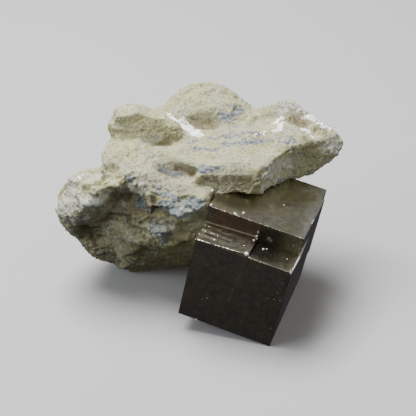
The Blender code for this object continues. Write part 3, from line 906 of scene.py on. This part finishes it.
def crystalMarks(across, back, up):
    # How far each mark shows at a place: brown tarnish, the painted dark reflection in the step, scuffs, the
    # painted sheen on the rims, the painted shade of the top corner
    scuff = pyrite["scuff"]
    riser = past("riser front", back) * (1 - past("riser back", back)) * past("riser foot", up)
    inStep = past("step front", back) * (back < 5.75 and up > 17.4) * (1 - 0.6 * past("step top", up))
    onTerrace = 0.35 + past("terraces across", across) * (0.6 - 0.35 * past("terraces back", back))
    besideTerraces = past("blot left", across) * (1 - past("blot right", across))
    dents = scuff["dents"] * frontDents(across, up) if abs(back) < 0.2 else 0.0
    onTop = past("top face", up)
    onLedge = back < 5.6 and abs(up - crystal["front height"]) < 0.1
    # painted sheen: the top's far corner and the rims of the top and the ledge are made lighter grey and
    # rougher
    farCorner = 0.5 * onTop * past("far back", back) * past("far right", across)
    rims = max(0.5 * onTop * past("top rim", across), 0.4 * onLedge * past("ledge rim", across))
    return {
        "tarnish": riser * past("tarnish left", across) * (1 - past("tarnish right", across)),
        # painted dark reflection: the step's corner and the terraces darkened to stand for what they mirror
        "painted_dark_reflection": inStep * max(onTerrace * (across < -8 and back < 5.4), besideTerraces),
        "scuff": max(dents, edgeScuff(across, back, up)),
        "painted_sheen": max(farCorner, rims),
        "shade": onTop * past("shade back", back) * (1 - past("shade right", across)),
    }


def makePyrite():
    piece = copyOfNode("pyrite_crystal", "pyrite_cube")
    mesh = piece.data
    bm = bmesh.new()
    bm.from_mesh(mesh)
    bmesh.ops.transform(bm, matrix=towardsOwnAxes(), verts=bm.verts)
    bmesh.ops.dissolve_limit(bm, angle_limit=radians(0.3), verts=bm.verts, edges=bm.edges)
    sharp = [edge for edge in bm.edges if edge.calc_face_angle(0) > radians(25) and edge.is_convex]
    corners = [(edge.verts[0].co.copy(), edge.verts[1].co.copy()) for edge in sharp
               if edge.calc_length() > 2 and not onTerraces((edge.verts[0].co + edge.verts[1].co) / 2)]
    cutCrystal(bm)
    bm.normal_update()
    say("pyrite faces", len(bm.faces), "worn edges", len(corners))
    low, high = pyrite["edge wear"]
    for vert in bm.verts:
        if onTerraces(vert.co) and any(face.normal.z > 0.9 for face in vert.link_faces):
            vert.co.z = terraceHeight(vert.co.x, vert.co.y)
    bmesh.ops.remove_doubles(bm, verts=bm.verts, dist=pyrite["sliver"])
    bm.normal_update()
    for vert in bm.verts:
        point = vert.co.copy()
        normals = {tuple(round(part, 1) for part in face.normal): face.normal for face in vert.link_faces}
        if len(normals) > 1 and any(distanceToLine(point, *ends) < 0.001 for ends in corners):
            bead = max(0.0, noise.noise(point * 1.7) + 0.6 * noise.noise(point * 4.1))
            inward = sum(normals.values(), Vector()).normalized()
            vert.co -= inward * (low + (high - low) * 2 * bead)
        elif abs(point.y) < 0.001:
            vert.co.y += frontDents(point.x, point.z)
        if point.x > -0.001:
            vert.co.x += lipThickness(point.y, point.z)
    bm.to_mesh(mesh)
    bm.free()
    useTree(piece, striationTree(), pyrite["striation"])
    settle(piece)
    mesh = piece.data
    marks = [crystalMarks(*vert.co) for vert in mesh.vertices]
    for name in marks[0]:
        storeFloats(mesh, name, [mark[name] for mark in marks])
    mesh.transform(towardsOwnAxes().inverted())
    mesh.polygons.foreach_set("use_smooth", [True] * len(mesh.polygons))
    mesh.set_sharp_from_angle(angle=radians(18))
    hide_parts("pyrite_crystal")
    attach(piece, "root")


pyriteTones = {
    "brass": (0.53, 0.49, 0.33, 1), "steel": (0.45, 0.43, 0.34, 1), "rust": (0.25, 0.18, 0.15, 1),
    "copper": (0.52, 0.38, 0.32, 1), "dark_reflection_tone": (0.10, 0.10, 0.095, 1), "dust": (0.60, 0.60, 0.56, 1),
    "shade": (0.20, 0.19, 0.12, 1), "painted_sheen": (0.52, 0.52, 0.50, 1), "scuff": (0.80, 0.78, 0.72, 1),
}


def pyriteMaterial():
    tree = Tree("pyrite")
    tones = pyriteTones
    here = tree.millimetres()
    broad = tree.noise(here, 0.30, 4, 0.65)
    mottle = tree.noise(here, 1.0, 4, 0.7)
    fine = tree.noise(here, 3.0, 4, 0.7)
    colour = tree.mixColour(tree.ramp(broad, 0.35, 0.65), tones["brass"], tones["steel"])
    colour = tree.shaded(colour, tree.span(mottle, (0.3, 0.7), (0.72, 1.16)))
    uneven = tree.span(fine, (0.35, 0.65), (0.45, 1.1))
    brown = tree.mixColour(uneven, tones["rust"], tones["copper"])
    colour = tree.mixColour(tree.maths("MULTIPLY", tree.attribute("tarnish"), 0.9), colour, brown)
    # painted reflection: the step is darkened towards near-black, with dust specks over it
    paintedReflectionShare = tree.maths("MULTIPLY", tree.attribute("painted_dark_reflection"), uneven, clamp=True)
    colour = tree.mixColour(tree.maths("MULTIPLY", paintedReflectionShare, 0.85), colour, tones["dark_reflection_tone"])
    specks = tree.ramp(tree.noise(here, 5.0, 2, 0.6), 0.62, 0.70)
    dust = tree.maths("MULTIPLY", specks, tree.attribute("painted_dark_reflection"))
    colour = tree.mixColour(tree.maths("MULTIPLY", dust, 0.6), colour, tones["dust"])
    shaded = tree.maths("MULTIPLY", tree.attribute("shade"), tree.ramp(mottle, 0.25, 0.65))
    colour = tree.mixColour(tree.maths("MULTIPLY", shaded, 0.8), colour, tones["shade"])
    # painted sheen, with a rougher finish: lighter grey on the top's far corner and rims
    painted_sheen = tree.attribute("painted_sheen")
    colour = tree.mixColour(painted_sheen, colour, tones["painted_sheen"])
    scuffed = tree.ramp(tree.attribute("scuff"), 0.05, 0.6)
    colour = tree.mixColour(scuffed, colour, tones["scuff"])
    tree.put(tree.shader.inputs["Base Color"], colour)
    metallic = tree.maths("SUBTRACT", 1.0, tree.maths("MULTIPLY", scuffed, 0.7))
    tree.put(tree.shader.inputs["Metallic"], metallic)
    rough = tree.span(mottle, end=(0.12, 0.30))
    worn = tree.maths("MAXIMUM", scuffed, tree.maths("MULTIPLY", painted_sheen, 0.5))
    tree.put(tree.shader.inputs["Roughness"], tree.maths("ADD", rough, tree.maths("MULTIPLY", worn, 0.35)))
    bump = tree.add("ShaderNodeBump", {"Height": mottle, "Strength": 0.5, "Distance": 0.03 * mm})
    tree.put(tree.shader.inputs["Normal"], bump.outputs[0])
    return tree.owner


pyriteSkin = pyriteMaterial()
makePyrite()
say("pyrite")


# Tiny grains, near-white: partly dust and spar, partly painted highlights standing for the glints of tiny
# crystals: place in the crystal's own axes, size
crumbs = (
    (-8.55, 0.16, 18.05, 0.60), (-7.90, 0.10, 17.56, 0.26), (-8.45, 4.30, 18.35, 0.26),
    (-8.30, 5.64, 18.50, 0.26), (-6.35, 3.90, 17.56, 0.30), (-5.80, 4.25, 17.54, 0.22),
    (-13.2, 6.00, 21.28, 0.38), (-12.9, 5.85, 21.26, 0.24), (-11.9, 7.10, 21.28, 0.34),
    (-16.6, 0.10, 17.56, 0.22), (-17.85, 6.05, 21.28, 0.26), (-17.8, 6.4, 21.28, 0.22),
    (0.10, 12.2, 21.22, 0.22), (0.06, 11.4, 21.22, 0.20), (-0.25, 0.5, 17.53, 0.20),
    (-0.10, 1.3, 17.50, 0.18), (-0.12, 0.02, 17.3, 0.16), (-6.0, 13.8, 21.25, 0.16),
    (-1.75, 3.5, 17.52, 0.14), (-14.4, 0.02, 0.05, 0.26),
)


def makeCrumbs():
    bm = bmesh.new()
    for count, (across, back, up, size) in enumerate(crumbs):
        turn = Matrix.Rotation(0.9 * count, 4, "Z") @ Matrix.Rotation(0.35 + 0.5 * count, 4, "X")
        place = Matrix.Translation((across, back, up)) @ turn
        made = bmesh.ops.create_cube(bm, size=size, matrix=place)
        edges = {edge for vert in made["verts"] for edge in vert.link_edges}
        bmesh.ops.bevel(bm, geom=list(edges), offset=0.18 * size, segments=1, affect="EDGES")
    mesh = bpy.data.meshes.new("pyrite_crumbs")
    bm.to_mesh(mesh)
    bm.free()
    mesh.transform(towardsOwnAxes().inverted())
    tree = Tree("white crumbs with painted glints")
    tree.shader.inputs["Roughness"].default_value = 0.3
    # near-white colour: partly painted highlight for the glints
    tree.shader.inputs["Base Color"].default_value = (0.95, 0.95, 0.93, 1)
    mesh.materials.append(tree.owner)
    piece = bpy.data.objects.new("pyrite_crumbs", mesh)
    bpy.context.scene.collection.objects.link(piece)
    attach(piece, "root")


makeCrumbs()
say("crumbs")


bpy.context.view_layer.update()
say("size written")
